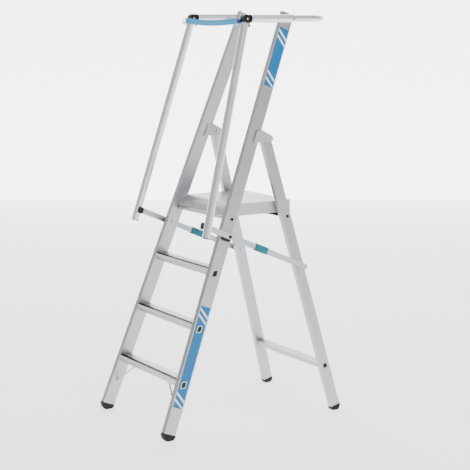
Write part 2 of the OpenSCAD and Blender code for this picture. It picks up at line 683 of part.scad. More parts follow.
// Thin dark cap on the handrail's free lower end
module handrail_cap(side) color(black)
  hand_frame(side) union() {
    translate([0, 0, hand_low + gap]) cylinder(d = rail_dia, h = 3, $fn = 64);
    translate([0, 0, hand_low - 14]) cylinder(d = rail_dia - 4 - 2 * gap, h = 15, $fn = 48);
  }
module handrail_cap_left() handrail_cap(-1);
module handrail_cap_right() handrail_cap(1);

// Oval end fitting of a front strut: it fills the space up to the handrail and plugs the strut
end_x = boss_x - 1 - strut_x;  // reach towards the handrail
end_tongue = 24;
module strut_end(side) color(black)
  union() {
    translate([side * strut_x + (side > 0 ? -strut_w / 2 : -end_x), strut_b[0] - 3.7, strut_b[1] + 1.6])
      rotate([hand_ang, 0, 0]) rotate([90, 0, 90]) linear_extrude(height = end_x + strut_w / 2) union() {
        square([13.6, 15], center = true);
        for (e = [-1, 1]) translate([0, e * 7.5]) circle(r = 7.5, $fn = 48);
      }
    strut_frame(side) {
      translate([-strut_w / 2 + 0.3, -strut_front_l - 2, -strut_h / 2 + 1])
        cube([strut_w - 0.6, strut_gap + 1.9, strut_h - 2]);
      translate([-strut_w / 2 + strut_wall + 0.05, -strut_front_l, -strut_h / 2 + strut_wall + 0.05])
        cube([strut_w - 2 * strut_wall - 0.1, strut_gap + end_tongue, strut_h - 2 * strut_wall - 0.1]);
    }
  }
module strut_end_left() strut_end(-1);
module strut_end_right() strut_end(1);

// ---------------------------------------------------------------- strap

strap_z = 1757;              // middle of the strap at its ends
strap_w = 25;
strap_t = 1.6;
strap_y = -35.5;
strap_x0 = -214;
strap_x1 = 180;
strap_sag = 9;
strap_r = (pow((strap_x1 - strap_x0) / 2, 2) + strap_sag * strap_sag) / (2 * strap_sag);
strap_half = asin((strap_x1 - strap_x0) / 2 / strap_r);
module strap() color(blue)
  translate([(strap_x0 + strap_x1) / 2, strap_y, strap_z - strap_sag + strap_r]) rotate([90, 0, 0])
    rotate([0, 0, 270 - strap_half]) rotate_extrude(angle = 2 * strap_half, $fn = 720)
      translate([strap_r - strap_w / 2, -strap_t / 2]) square([strap_w, strap_t]);

// Short tab that ties the ring to the inner cheek of the right handrail's fork
tab_x1 = rail_half_w - ear_t / 2 - 0.3 - fork_t - gap;
module strap_tab() color([0.05, 0.25, 0.55]) {
  translate([strap_x1 + 19, strap_y - 1, strap_z - 9]) cube([tab_x1 - strap_x1 - 19, 1.8, 18]);
  translate([tab_x1 - 1.8, strap_y - 1, strap_z - 9]) cube([1.8, 17, 18]);
}

// Eye plate on the front of the left handrail, through which the snap hook passes
eye_p = [strap_y, strap_z - 11];
eye_x = rail_half_w + ear_t / 2 + 0.3 + fork_t + gap;
module strap_eye() color(steel)
  difference() {
    translate([-eye_x - 2, 0, 0]) rotate([90, 0, 90]) linear_extrude(height = 2) difference() {
      union() {
        translate(eye_p) circle(r = 8, $fn = 48);
        polygon([eye_p + [-4.5, 6.6], eye_p + [4, -6.9], [-15, strap_z - 14], [-15, strap_z + 2]]);
      }
      translate(eye_p) circle(r = 5, $fn = 48);
    }
    hand_frame(-1) cylinder(d = rail_dia + 0.3, h = 200, $fn = 64);
  }

// Flat wire frame that joins the strap to the tab
module strap_buckle() color(steel)
  difference() {
    translate([strap_x1 + 1.4, strap_y - 2, strap_z - 15]) cube([17.3, 4, 30]);
    translate([strap_x1 + 5, strap_y - 3, strap_z - 11.5]) cube([10, 6, 23]);
  }

// Snap hook on the strap's left end, with a sprung gate
hook_c = [strap_x0 - 28, strap_z];
gate_p = [-12.2, -6.8];
module hook_frame() translate([hook_c[0], strap_y, hook_c[1]]) rotate([90, 0, 0]) children();
module strap_hook() color(steel)
  hook_frame() difference() {
    union() {
      translate([0, 0, -2.5]) cylinder(r = 15, h = 5, $fn = 48);
      translate([11, -11, -2.5]) cube([15.4, 22, 5]);
    }
    translate([0, 0, -3]) cylinder(r = 10, h = 6, $fn = 48);
    translate([-20, -4.4, -3]) cube([11, 7.4, 6]);
    translate([-20, -9.4, -1.8]) cube([13, 6, 3.6]);
    translate([gate_p[0], gate_p[1], -3]) cylinder(r = 0.7 + fit, h = 6, $fn = 24);
  }
module hook_gate() color(steel)
  hook_frame() union() {
    translate([gate_p[0] - 1.6, gate_p[1], -1.5]) cube([3.2, 2.5 - gate_p[1], 3]);
    translate([gate_p[0], gate_p[1], -1.5]) cylinder(r = 1.6, h = 3, $fn = 32);
    translate([gate_p[0], gate_p[1], -2.4]) cylinder(r = 0.7, h = 4.8, $fn = 24);
  }

front_stile_left();
front_stile_right();
tread_low();
tread_middle();
tread_upper();
tread_strips();
tread_plugs();
low_brace_left();
low_brace_right();
front_boot_left();
front_boot_right();
stile_hinge_left();
stile_hinge_right();
hinge_bolts();
platform_bolts();
stile_spacer_left();
stile_spacer_right();
stile_screws();
rail_bolts();
rail_spacers();
rear_leg_left();
rear_leg_right();
rear_rung();
rung_plugs();
rear_boot_left();
rear_boot_right();
leg_spacer_left();
leg_spacer_right();
platform_pegs();
leg_screws();
platform_tray();
platform_tube();
link_rivets();
platform_link_left();
platform_link_right();
strut_front_left();
strut_front_right();
strut_rear_left();
strut_rear_right();
lock_sleeve_left();
lock_sleeve_right();
rail_side_left();
rail_side_right();
rail_bow();
rail_knuckle_left();
rail_knuckle_right();
handrail_left();
handrail_right();
handrail_fork_left();
handrail_fork_right();
handrail_cap_left();
handrail_cap_right();
strut_end_left();
strut_end_right();
strap();
strap_tab();
strap_eye();
strap_buckle();
strap_hook();
hook_gate();
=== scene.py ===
"""Looks of the platform step ladder: materials for the aluminium frame and the plastic fittings, the woven
gate strap with its snap hook and ring, the joint pins, the stile labels and the stage.
Run it in Blender; with the add-on registered, the panel "Ladder" in the 3D view's sidebar makes each group again."""

import json
import math

import bmesh
import bpy
import numpy as np
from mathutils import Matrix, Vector


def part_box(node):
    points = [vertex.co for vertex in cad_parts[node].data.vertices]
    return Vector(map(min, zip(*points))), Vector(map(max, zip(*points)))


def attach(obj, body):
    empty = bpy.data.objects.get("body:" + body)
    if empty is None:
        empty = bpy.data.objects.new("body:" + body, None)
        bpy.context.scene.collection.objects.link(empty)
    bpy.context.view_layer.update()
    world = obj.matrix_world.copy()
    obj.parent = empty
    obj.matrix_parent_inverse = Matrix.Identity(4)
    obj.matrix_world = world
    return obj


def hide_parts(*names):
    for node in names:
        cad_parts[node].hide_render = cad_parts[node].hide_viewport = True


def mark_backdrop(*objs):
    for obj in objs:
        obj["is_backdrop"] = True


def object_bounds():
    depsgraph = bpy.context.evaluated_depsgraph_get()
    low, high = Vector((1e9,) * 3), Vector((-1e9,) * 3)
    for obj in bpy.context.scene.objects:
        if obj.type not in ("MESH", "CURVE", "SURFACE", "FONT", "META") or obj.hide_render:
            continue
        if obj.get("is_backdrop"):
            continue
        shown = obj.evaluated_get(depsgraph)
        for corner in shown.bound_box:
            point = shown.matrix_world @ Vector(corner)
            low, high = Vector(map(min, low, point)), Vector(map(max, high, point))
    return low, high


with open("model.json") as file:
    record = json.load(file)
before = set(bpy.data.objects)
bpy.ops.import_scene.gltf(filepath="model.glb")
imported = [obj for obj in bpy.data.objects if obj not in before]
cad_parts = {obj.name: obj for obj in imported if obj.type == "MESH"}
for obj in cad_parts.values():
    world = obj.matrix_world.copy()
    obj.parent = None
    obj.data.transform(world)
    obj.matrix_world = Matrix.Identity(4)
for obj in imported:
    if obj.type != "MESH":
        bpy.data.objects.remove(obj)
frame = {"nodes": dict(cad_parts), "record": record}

bl_info = {
    "name": "Platform step ladder",
    "version": (1, 0, 0),
    "blender": (4, 5, 0),
    "location": "3D View > Sidebar > Ladder",
    "description": "Dresses the packed platform step ladder with materials, strap, labels and a studio stage",
    "category": "Object",
}

MM = 0.001
SIDES = ("left", "right")
RIM_WIDTH = 2.4 * MM           # bright border left round a plug
FILM_GAP = 0.02 * MM           # between a printed layer and what it lies on
MOULDING_ANGLE = 50.0          # degrees; blunter edges stay as they are
MOULDING_EDGES = (             # kinds of node, bevel width in millimetres, bevel segments
    (("front_boot", "rear_boot"), 1.6, 3),
    (("rail_knuckle", "handrail_fork"), 1.4, 3),
    (("stile_spacer", "leg_spacer"), 0.8, 2),
    (("lock_sleeve",), 0.6, 2),
    (("strut_front", "strut_rear"), 0.5, 2),
    (("strut_end",), 1.5, 3),
)
PIN_RADIUS = 4.2 * MM          # domed pin end
PIN_HEIGHT = 1.8 * MM
FLOOR_REACH = 40.0             # metres from the middle to the floor's edges
WALL_REACH = 7.0               # metres from the back wall's middle to its ends
WALL_HEIGHT = 9.0
LAYERS_PART = 12 * MM          # length over which the strap's two layers part near a bar


# ------------------------------------------------------------------ settings

def colour(name, rgb, words):
    """A colour property with an opaque default."""
    return bpy.props.FloatVectorProperty(name=name, description=words, subtype="COLOR", size=4,
                                         min=0.0, max=1.0, default=(*rgb, 1.0))


def length(name, default_mm, words, low=0.1, high=6000.0):
    """A length property in metres, with its default and limits given in millimetres."""
    return bpy.props.FloatProperty(name=name, description=words, unit="LENGTH", default=default_mm * MM,
                                   min=low * MM, max=high * MM, precision=4)


class LadderColours(bpy.types.PropertyGroup):
    """Base colours of the materials, linear."""
    profile: colour("Profile", (0.45, 0.455, 0.475), "Extruded aluminium of the stiles, legs and struts")
    tread: colour("Tread", (0.44, 0.445, 0.46), "Extruded aluminium of the treads and the rear rung")
    tube: colour("Tube", (0.80, 0.81, 0.83), "Drawn aluminium tube of the rails")
    deck: colour("Deck", (0.50, 0.505, 0.52), "Aluminium sheet of the platform")
    plastic: colour("Plastic", (0.003, 0.003, 0.0033), "Black moulded plastic")
    rubber: colour("Rubber", (0.004, 0.004, 0.0043), "Black rubber of feet and tread strips")
    sleeve: colour("Sleeve", (0.0, 0.13, 0.17), "Teal plastic of the lock sleeves")
    steel: colour("Steel", (0.52, 0.53, 0.55), "Zinc plated fasteners")
    dark_steel: colour("Dark steel", (0.012, 0.012, 0.013), "Black coated steel links")
    webbing: colour("Webbing", (0.0, 0.32, 0.66), "Woven gate strap")
    # The strap's end loop round the handrail is real, in the strap's own blue, but this darker blue is painted shade
    # for the shadow it lies in.
    tab: colour("Tab", (0.002, 0.05, 0.26), "Short dark tab of the strap")
    label: colour("Label", (0.0, 0.15, 0.36), "Blue of the stile labels")
    stripe: colour("Stripe", (0.90, 0.91, 0.93), "White stripes of the stile labels")
    floor: colour("Floor", (0.93, 0.93, 0.95), "Pale studio floor")


class LadderSizes(bpy.types.PropertyGroup):
    """Sizes of the pieces added to the frame."""
    webbing_width: length("Webbing width", 25, "Width of the gate strap", 10, 40)
    webbing_thick: length("Webbing thickness", 1.5, "Thickness of one layer of the strap", 0.5, 3)
    webbing_sag: length("Webbing sag", 9, "How far the strap's middle hangs below its ends", 0, 40)
    webbing_tail: length("Webbing tail", 38, "Length of the strap folded back and sewn at each end", 10, 80)
    wire: length("Wire", 4, "Wire diameter of the ring and the snap hook", 2, 6)
    label_gap: length("Label margin", 5.5, "Bare web left beside a label", 1, 15)
    label_thick: length("Label thickness", 0.25, "Thickness of a label", 0.05, 1)
    upper_top: length("Upper label top", 1733, "Height of the upper label's top front corner")
    upper_low: length("Upper label foot", 1486, "Height of the upper label's lower front corner")
    lower_top: length("Lower label top", 561, "Height of the lower label's top front corner")
    lower_low: length("Lower label foot", 144, "Height of the lower label's lower front corner")
    stripe_width: length("Stripe width", 10.5, "Width of a diagonal stripe on a label", 2, 20)


class LadderStage(bpy.types.PropertyGroup):
    """Camera, lamps and the glow of the floor and the back wall."""
    camera_side: length("Camera to the right", 5221.8, "Camera's distance to the object's right", 0, 20000)
    camera_front: length("Camera in front", 3213.2, "Camera's distance in front of the object", 0, 20000)
    camera_height: length("Camera height", 1813.1, "Camera's height above the floor", 0, 9000)
    heading: bpy.props.FloatProperty(name="Heading", description="Direction of view from +X, anticlockwise",
                                     subtype="ANGLE", default=math.radians(147.7485))
    pitch: bpy.props.FloatProperty(name="Pitch", description="How far the camera looks down",
                                   subtype="ANGLE", default=math.radians(9.3148))
    lens: bpy.props.FloatProperty(name="Focal length", description="Focal length in millimetres on a 36 mm sensor",
                                  default=106.06, min=20, max=300)
    key: bpy.props.FloatProperty(name="Key light", description="Power of the large overhead panel in watts",
                                 default=70.0, min=0, max=5000)
    fill: bpy.props.FloatProperty(name="Fill light", description="Power of the side panel in watts",
                                  default=12.0, min=0, max=5000)
    world: bpy.props.FloatProperty(name="Surround", description="Strength of the even white surround",
                                   default=0.5, min=0, max=5)
    floor_glow: bpy.props.FloatProperty(name="Floor glow", description="Light the white floor gives by itself",
                                        default=1.6, min=0, max=10)
    wall_glow: bpy.props.FloatProperty(name="Wall glow", description="Light the white back wall gives by itself",
                                       default=3.8, min=0, max=10)
    wall_away: length("Wall distance", 7000, "Distance of the back wall behind the object", 2000, 20000)


# ------------------------------------------------------------------ material building

class Nodes:
    """Short hand for building a node tree from left to right."""

    def __init__(self, name, rgba, metallic=0.0, roughness=0.5):
        self.material = bpy.data.materials.get(name) or bpy.data.materials.new(name)
        self.material.use_nodes = True
        self.material.diffuse_color = rgba
        self.tree = self.material.node_tree
        self.tree.nodes.clear()
        self.out = self.add("ShaderNodeOutputMaterial")
        self.shader = self.add("ShaderNodeBsdfPrincipled")
        self.link(self.shader, "BSDF", self.out, "Surface")
        self.shader.inputs["Base Color"].default_value = rgba
        self.shader.inputs["Metallic"].default_value = metallic
        self.shader.inputs["Roughness"].default_value = roughness
        self.coords = self.add("ShaderNodeTexCoord")

    def add(self, kind, **settings):
        """A new node with some of its settings filled in."""
        node = self.tree.nodes.new(kind)
        for key, value in settings.items():
            setattr(node, key, value)
        return node

    def link(self, a, output, b, target):
        """Joins one node's output to another's input, both by name."""
        self.tree.links.new(a.outputs[output], b.inputs[target])

    def mapped(self, scale=(1, 1, 1), turn=(0, 0, 0), place=(0, 0, 0), source="Object"):
        """Object coordinates in metres, turned and then stretched."""
        turner = self.add("ShaderNodeMapping", vector_type="POINT")
        turner.inputs["Rotation"].default_value = turn
        turner.inputs["Location"].default_value = place
        self.link(self.coords, source, turner, "Vector")
        stretch = self.add("ShaderNodeMapping", vector_type="POINT")
        stretch.inputs["Scale"].default_value = scale
        self.link(turner, "Vector", stretch, "Vector")
        return stretch

    def noise(self, vector, scale, detail=3.0, roughness=0.5):
        """Fractal noise with about scale features to the metre."""
        node = self.add("ShaderNodeTexNoise")
        node.inputs["Scale"].default_value = scale
        node.inputs["Detail"].default_value = detail
        node.inputs["Roughness"].default_value = roughness
        self.link(vector, "Vector", node, "Vector")
        return node

    def ramp(self, source, output, stops):
        """Float ramp through (position, value) stops."""
        node = self.add("ShaderNodeValToRGB")
        self.link(source, output, node, "Fac")
        elements = node.color_ramp.elements
        while len(elements) < len(stops):
            elements.new(0.5)
        for element, (at, value) in zip(elements, stops):
            element.position = at
            element.color = (value, value, value, 1)
        return node

    def span(self, source, output, low, high):
        """Maps 0..1 to low..high."""
        node = self.add("ShaderNodeMapRange")
        self.link(source, output, node, "Value")
        node.inputs["To Min"].default_value = low
        node.inputs["To Max"].default_value = high
        return node

    def math(self, operation, a, b=0.0):
        """One arithmetic step; a and b are numbers or (node, output) pairs."""
        node = self.add("ShaderNodeMath", operation=operation)
        for i, value in enumerate((a, b)):
            if isinstance(value, tuple):
                self.tree.links.new(value[0].outputs[value[1]], node.inputs[i])
            else:
                node.inputs[i].default_value = value
        return node

    def tint(self, factor, output, dark, light):
        """Mixes two colours and feeds the base colour."""
        node = self.add("ShaderNodeMix", data_type="RGBA")
        self.link(factor, output, node, "Factor")
        node.inputs["A"].default_value = dark
        node.inputs["B"].default_value = light
        self.tree.links.new(node.outputs["Result"], self.shader.inputs["Base Color"])
        return node

    def bump(self, source, output, height, strength=1.0):
        """Surface relief of the given height in metres, on top of any relief already there."""
        node = self.add("ShaderNodeBump")
        node.inputs["Strength"].default_value = strength
        node.inputs["Distance"].default_value = height
        self.link(source, output, node, "Height")
        previous = self.shader.inputs["Normal"].links
        if previous:
            self.tree.links.new(previous[0].from_socket, node.inputs["Normal"])
        self.link(node, "Normal", self.shader, "Normal")
        return node


def scaled(rgba, factor):
    """The colour made lighter or darker."""
    return (*(min(1.0, max(0.0, c * factor)) for c in rgba[:3]), 1.0)


def extruded(name, rgba, turn, roughness=0.36):
    """Extruded aluminium: fine die lines along the profile, faint cloudy patches and small scuffs.
    turn is the rotation that brings the profile's length onto the texture's Z axis."""
    n = Nodes(name, rgba, metallic=0.82, roughness=roughness)
    lines = n.noise(n.mapped(scale=(1.0, 1.0, 0.012), turn=turn), 2200.0, 4.0, 0.62)
    coarse = n.noise(n.mapped(scale=(1.0, 1.0, 0.02), turn=turn), 240.0, 2.0)
    cloud = n.noise(n.mapped(scale=(1.0, 1.0, 0.5), turn=turn), 9.0, 4.0, 0.6)
    scuffs = n.ramp(n.noise(n.mapped(scale=(1.0, 1.0, 0.25), turn=turn), 70.0, 6.0, 0.7), "Fac",
                    [(0.0, 0.0), (0.60, 0.0), (0.74, 1.0)])
    mixed = n.math("ADD", n_pair(n.math("MULTIPLY", (lines, "Fac"), 0.35)),
                   n_pair(n.math("MULTIPLY", (cloud, "Fac"), 0.65)))
    n.tint(mixed, "Value", scaled(rgba, 0.90), scaled(rgba, 1.08))
    base = n.span(cloud, "Fac", roughness - 0.06, roughness + 0.08)
    rough = n.math("ADD", (base, "Result"), n_pair(n.math("MULTIPLY", (scuffs, "Color"), 0.10)))
    n.link(rough, "Value", n.shader, "Roughness")
    n.bump(lines, "Fac", 0.00003, 0.55)
    n.bump(coarse, "Fac", 0.00008, 0.35)
    n.shader.inputs["Anisotropic"].default_value = 0.35
    return n.material


def n_pair(node, output="Value"):
    """A node with the output that arithmetic reads."""
    return (node, output)


def drawn_tube(name, rgba):
    """Bright drawn tube: nearly even, with faint rub marks."""
    n = Nodes(name, rgba, metallic=0.80, roughness=0.24)
    cloud = n.noise(n.mapped(), 14.0, 4.0, 0.6)
    rubs = n.noise(n.mapped(scale=(1, 1, 0.15)), 260.0, 2.0, 0.5)
    n.tint(cloud, "Fac", scaled(rgba, 0.93), scaled(rgba, 1.05))
    rough = n.math("ADD", n_pair(n.span(cloud, "Fac", 0.19, 0.30), "Result"),
                   n_pair(n.math("MULTIPLY", (rubs, "Fac"), 0.06)))
    n.link(rough, "Value", n.shader, "Roughness")
    n.bump(rubs, "Fac", 0.000006, 0.3)
    return n.material


def cross_grooved(name, rgba, pitch, depth, axis="Y"):
    """Aluminium with fine grooves across one axis, as on a deck sheet or a tread top."""
    n = Nodes(name, rgba, metallic=0.75, roughness=0.40)
    split = n.add("ShaderNodeSeparateXYZ")
    n.link(n.coords, "Object", split, "Vector")
    wave = n.math("SINE", n_pair(n.math("MULTIPLY", (split, axis), 2 * math.pi / pitch)))
    ridge = n.math("POWER", n_pair(n.math("ABSOLUTE", (wave, "Value"))), 0.5)
    cloud = n.noise(n.mapped(), 22.0, 4.0, 0.6)
    fine = n.noise(n.mapped(scale=(0.05, 1.0, 1.0)), 900.0, 3.0, 0.6)
    n.tint(cloud, "Fac", scaled(rgba, 0.90), scaled(rgba, 1.08))
    n.link(n.span(cloud, "Fac", 0.33, 0.48), "Result", n.shader, "Roughness")
    n.bump(ridge, "Value", depth, 0.6)
    n.bump(fine, "Fac", 0.00003, 0.5)
    return n.material


def moulded(name, rgba, roughness=0.42, grain=0.00002, scale=1400.0):
    """Moulded plastic or rubber with a fine grain and lighter rubbed patches."""
    n = Nodes(name, rgba, roughness=roughness)
    n.shader.inputs["Specular IOR Level"].default_value = 0.3
    grainy = n.noise(n.mapped(), scale, 3.0, 0.6)
    patch = n.noise(n.mapped(), 38.0, 4.0, 0.6)
    n.tint(patch, "Fac", scaled(rgba, 0.75), scaled(rgba, 1.45))
    n.link(n.span(patch, "Fac", roughness - 0.08, roughness + 0.12), "Result", n.shader, "Roughness")
    n.bump(grainy, "Fac", grain, 0.6)
    return n.material


def plated(name, rgba):
    """Zinc plated steel with a slightly uneven shine."""
    n = Nodes(name, rgba, metallic=1.0, roughness=0.3)
    cloud = n.noise(n.mapped(), 120.0, 4.0, 0.6)
    n.tint(cloud, "Fac", scaled(rgba, 0.82), scaled(rgba, 1.12))
    n.link(n.span(cloud, "Fac", 0.20, 0.40), "Result", n.shader, "Roughness")
    n.bump(n.noise(n.mapped(), 2600.0, 2.0), "Fac", 0.00002, 0.4)
    return n.material


def woven(name, rgba, per_length=520.0, per_width=16.0):
    """Webbing: diagonal ribs in the strap's own map, U along its length in metres and V from 0 to 1 across."""
    n = Nodes(name, rgba, roughness=0.78)
    uv = n.add("ShaderNodeSeparateXYZ")
    n.link(n.coords, "UV", uv, "Vector")
    along = n.math("MULTIPLY", (uv, "X"), 2 * math.pi * per_length)
    across = n.math("MULTIPLY", (uv, "Y"), 2 * math.pi * per_width)
    rib = n.math("SINE", n_pair(n.math("ADD", n_pair(along), n_pair(across))))
    yarn = n.math("SINE", n_pair(across))
    weave = n.math("MULTIPLY", n_pair(n.math("ADD", n_pair(rib), n_pair(yarn))), 0.25)
    level = n.math("ADD", n_pair(weave), 0.5)
    n.tint(level, "Value", scaled(rgba, 0.62), scaled(rgba, 1.15))
    n.shader.inputs["Sheen Weight"].default_value = 0.25
    n.shader.inputs["Sheen Roughness"].default_value = 0.5
    n.bump(level, "Value", 0.00025, 0.8)
    return n.material


def printed(name, rgba):
    """Printed label film: smooth, faintly scuffed."""
    n = Nodes(name, rgba, roughness=0.34)
    scuff = n.noise(n.mapped(), 90.0, 5.0, 0.7)
    n.tint(scuff, "Fac", scaled(rgba, 0.92), scaled(rgba, 1.06))
    n.link(n.span(scuff, "Fac", 0.26, 0.42), "Result", n.shader, "Roughness")
    n.bump(n.noise(n.mapped(), 1500.0, 2.0), "Fac", 0.00001, 0.3)
    n.shader.inputs["Specular IOR Level"].default_value = 0.3
    return n.material


# ------------------------------------------------------------------ geometry building

def own_material(obj, material):
    """Gives an object one material."""
    obj.data.materials.clear()
    obj.data.materials.append(material)
    return obj


def grid_piece(name, points, close_u=False, close_v=False, uv=None, smooth=True, cap_u=False):
    """Mesh of a grid of points, an (n, m, 3) array. close_u joins the last row to the first, close_v the last
    column to the first, and cap_u closes the first and last row with one face each."""
    n, m, _ = points.shape
    rows = np.arange(n if close_u else n - 1)[:, None]
    cols = np.arange(m if close_v else m - 1)[None, :]
    a = rows * m + cols
    b = rows * m + (cols + 1) % m
    c = ((rows + 1) % n) * m + (cols + 1) % m
    d = ((rows + 1) % n) * m + cols
    quads = np.stack([a, b, c, d], axis=-1).reshape(-1, 4)
    faces = quads.tolist()
    if cap_u:
        faces.append(np.arange(m)[::-1].tolist())
        faces.append((np.arange(m) + (n - 1) * m).tolist())
    mesh = bpy.data.meshes.new(name)
    mesh.from_pydata(points.reshape(-1, 3).tolist(), [], faces)
    if uv is not None:
        layer = mesh.uv_layers.new(name="UVMap")
        index = np.zeros(len(mesh.loops), np.int64)
        mesh.loops.foreach_get("vertex_index", index)
        layer.data.foreach_set("uv", uv.reshape(-1, 2)[index].ravel())
    mesh.update()
    obj = bpy.data.objects.new(name, mesh)
    bpy.context.scene.collection.objects.link(obj)
    turn_outward(obj)
    mesh.polygons.foreach_set("use_smooth", np.full(len(mesh.polygons), smooth))
    return obj


def turn_outward(obj):
    """Turns every closed shell's faces outward: a shell whose signed volume is negative is flipped."""
    bm = bmesh.new()
    bm.from_mesh(obj.data)
    bmesh.ops.recalc_face_normals(bm, faces=bm.faces)
    bm.to_mesh(obj.data)
    bm.free()


def joined(name, parts, body, replaces=()):
    """Joins mesh objects into one piece that rides on a body."""
    meshes = [p.data for p in parts]
    bm = bmesh.new()
    materials = []
    for obj in parts:
        mesh = obj.data
        offset = len(materials)
        materials += list(mesh.materials)
        start = len(bm.faces)
        bm.from_mesh(mesh)
        bm.faces.ensure_lookup_table()
        for face in bm.faces[start:]:
            face.material_index += offset
    mesh = bpy.data.meshes.new(name)
    bm.to_mesh(mesh)
    bm.free()
    for material in materials:
        mesh.materials.append(material)
    whole = bpy.data.objects.new(name, mesh)
    bpy.context.scene.collection.objects.link(whole)
    for obj in parts:
        bpy.data.objects.remove(obj)
    for old in meshes:
        bpy.data.meshes.remove(old)
    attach(whole, body)
    if replaces:
        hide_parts(*replaces)
    return whole


def tube_along(name, path, side, radius, closed=False, segments=20):
    """Round bar along a planar path of (n, 3) points: at each point a circle lies in the plane of side, the
    path plane's normal, and of side x tangent."""
    path = np.asarray(path, float)
    side = np.asarray(side, float) / np.linalg.norm(side)
    if closed:
        tangent = np.roll(path, -1, 0) - np.roll(path, 1, 0)
    else:
        tangent = np.gradient(path, axis=0)
    tangent /= np.linalg.norm(tangent, axis=1, keepdims=True)
    normal = np.cross(side, tangent)
    angle = np.arange(segments) * 2 * np.pi / segments
    points = (path[:, None, :] + radius * (np.cos(angle)[None, :, None] * side[None, None, :]
                                           + np.sin(angle)[None, :, None] * normal[:, None, :]))
    return grid_piece(name, points, close_u=closed, close_v=True, cap_u=not closed)


def turned(name, centre, axis, profile, segments=48):
    """Solid of revolution: profile is a list of (distance along axis, radius) pairs, closed with end faces."""
    axis = np.asarray(axis, float) / np.linalg.norm(axis)
    other = np.array([0.0, 0.0, 1.0]) if abs(axis[2]) < 0.9 else np.array([1.0, 0.0, 0.0])
    u = np.cross(axis, other)
    u /= np.linalg.norm(u)
    v = np.cross(axis, u)
    profile = np.asarray(profile, float)
    angle = np.arange(segments) * 2 * np.pi / segments
    ring = np.cos(angle)[:, None] * u + np.sin(angle)[:, None] * v
    points = np.asarray(centre, float) + profile[:, 0, None, None] * axis + profile[:, 1, None, None] * ring[None]
    return grid_piece(name, points, close_v=True, cap_u=True)


def centre_of(node):
    """Middle of a CAD node's box."""
    low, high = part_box(node)
    return (np.array(low) + np.array(high)) / 2


def rounded_rect(width, height, radius, per_corner=6):
    """Outline of a rounded rectangle, anticlockwise, as an (n, 2) array about its centre."""
    corner = np.linspace(0, np.pi / 2, per_corner)
    arcs = []
    for k, (sx, sy) in enumerate(((1, 1), (-1, 1), (-1, -1), (1, -1))):
        a = corner + k * np.pi / 2
        arcs.append(np.stack([sx * (width / 2 - radius) + radius * np.cos(a),
                              sy * (height / 2 - radius) + radius * np.sin(a)], axis=1))
    return np.concatenate(arcs)


def soften(names, width_mm, segments=2, angle=30.0):
    """Rounds the sharp edges of CAD mouldings with a small bevel; the mesh itself is left alone."""
    for name in names:
        obj = frame["nodes"][name]
        weld = obj.modifiers.new("Weld", "WELD")
        weld.merge_threshold = 0.00001
        bevel = obj.modifiers.new("Bevel", "BEVEL")
        bevel.width = width_mm * MM
        bevel.segments = segments
        bevel.limit_method = "ANGLE"
        bevel.angle_limit = math.radians(angle)
        bevel.harden_normals = False
        bevel.use_clamp_overlap = True


def node_materials(materials):
    """Gives each CAD node the material of its slot."""
    for entry in frame["record"]["subparts"]:
        own_material(frame["nodes"][entry["node"]], materials[entry["material_slot"]])


# ------------------------------------------------------------------ operators

class LADDER_OT_frame(bpy.types.Operator):
    """Give every CAD part its detailed material"""
    bl_idname = "ladder.frame"
    bl_label = "Frame materials"

    def execute(self, context):
        c = context.scene.ladder_colours
        profile = extruded("profile", tuple(c.profile), (0, 0, 0))
        materials = {
            "aluminium_profile": profile,
            "aluminium_tread": cross_grooved("tread", tuple(c.tread), 0.006, 0.0004),
            "aluminium_tube": drawn_tube("tube", tuple(c.tube)),
            "platform_skin": cross_grooved("deck", tuple(c.deck), 0.010, 0.0003),
            "black_plastic": moulded("plastic", tuple(c.plastic)),
            "black_rubber": moulded("rubber", tuple(c.rubber), 0.55, 0.0001, 900.0),
            "teal_plastic": moulded("sleeve", tuple(c.sleeve), 0.34, 0.00003, 1800.0),
            "plated_steel": plated("steel", tuple(c.steel)),
            "dark_steel": moulded("dark_steel", tuple(c.dark_steel), 0.38, 0.00002, 2000.0),
            "blue_webbing": woven("webbing", tuple(c.webbing)),
            # the end loop's darker blue is painted shade on the strap's own blue, not a differently dyed webbing
            "dark_blue_webbing": woven("tab", tuple(c.tab)),
        }
        node_materials(materials)
        # the die lines follow each leaning profile
        front, rear = lean_of("front_stile_right"), lean_of("rear_leg_right")
        along_front = extruded("front_profile", tuple(c.profile), (front, 0, 0))
        along_rear = extruded("rear_profile", tuple(c.profile), (rear, 0, 0))
        strut = lean_of("strut_rear_right")
        along_strut = extruded("strut_profile", tuple(c.profile), (strut, 0, 0), 0.30)
        for side in SIDES:
            own_material(frame["nodes"]["front_stile_" + side], along_front)
            own_material(frame["nodes"]["rear_leg_" + side], along_rear)
            own_material(frame["nodes"]["strut_front_" + side], along_strut)
            own_material(frame["nodes"]["strut_rear_" + side], along_strut)
        return {"FINISHED"}


def lean_of(node):
    """Angle in the side view that turns a long straight node upright, from its box. Rearward lean is positive."""
    obj = frame["nodes"][node]
    co = np.zeros(len(obj.data.vertices) * 3)
    obj.data.vertices.foreach_get("co", co)
    yz = co.reshape(-1, 3)[:, 1:]
    yz = yz - yz.mean(0)
    _, _, axes = np.linalg.svd(yz, full_matrices=False)
    along = axes[0] if axes[0][1] > 0 else -axes[0]
    return math.atan2(along[0], along[1])


class LADDER_OT_mouldings(bpy.types.Operator):
    """Round the edges of the plastic and rubber mouldings"""
    bl_idname = "ladder.mouldings"
    bl_label = "Moulding edges"

    def execute(self, context):
        for kinds, width_mm, segments in MOULDING_EDGES:
            names = [f"{kind}_{side}" for kind in kinds for side in SIDES]
            soften(names, width_mm, segments, MOULDING_ANGLE)
        return {"FINISHED"}


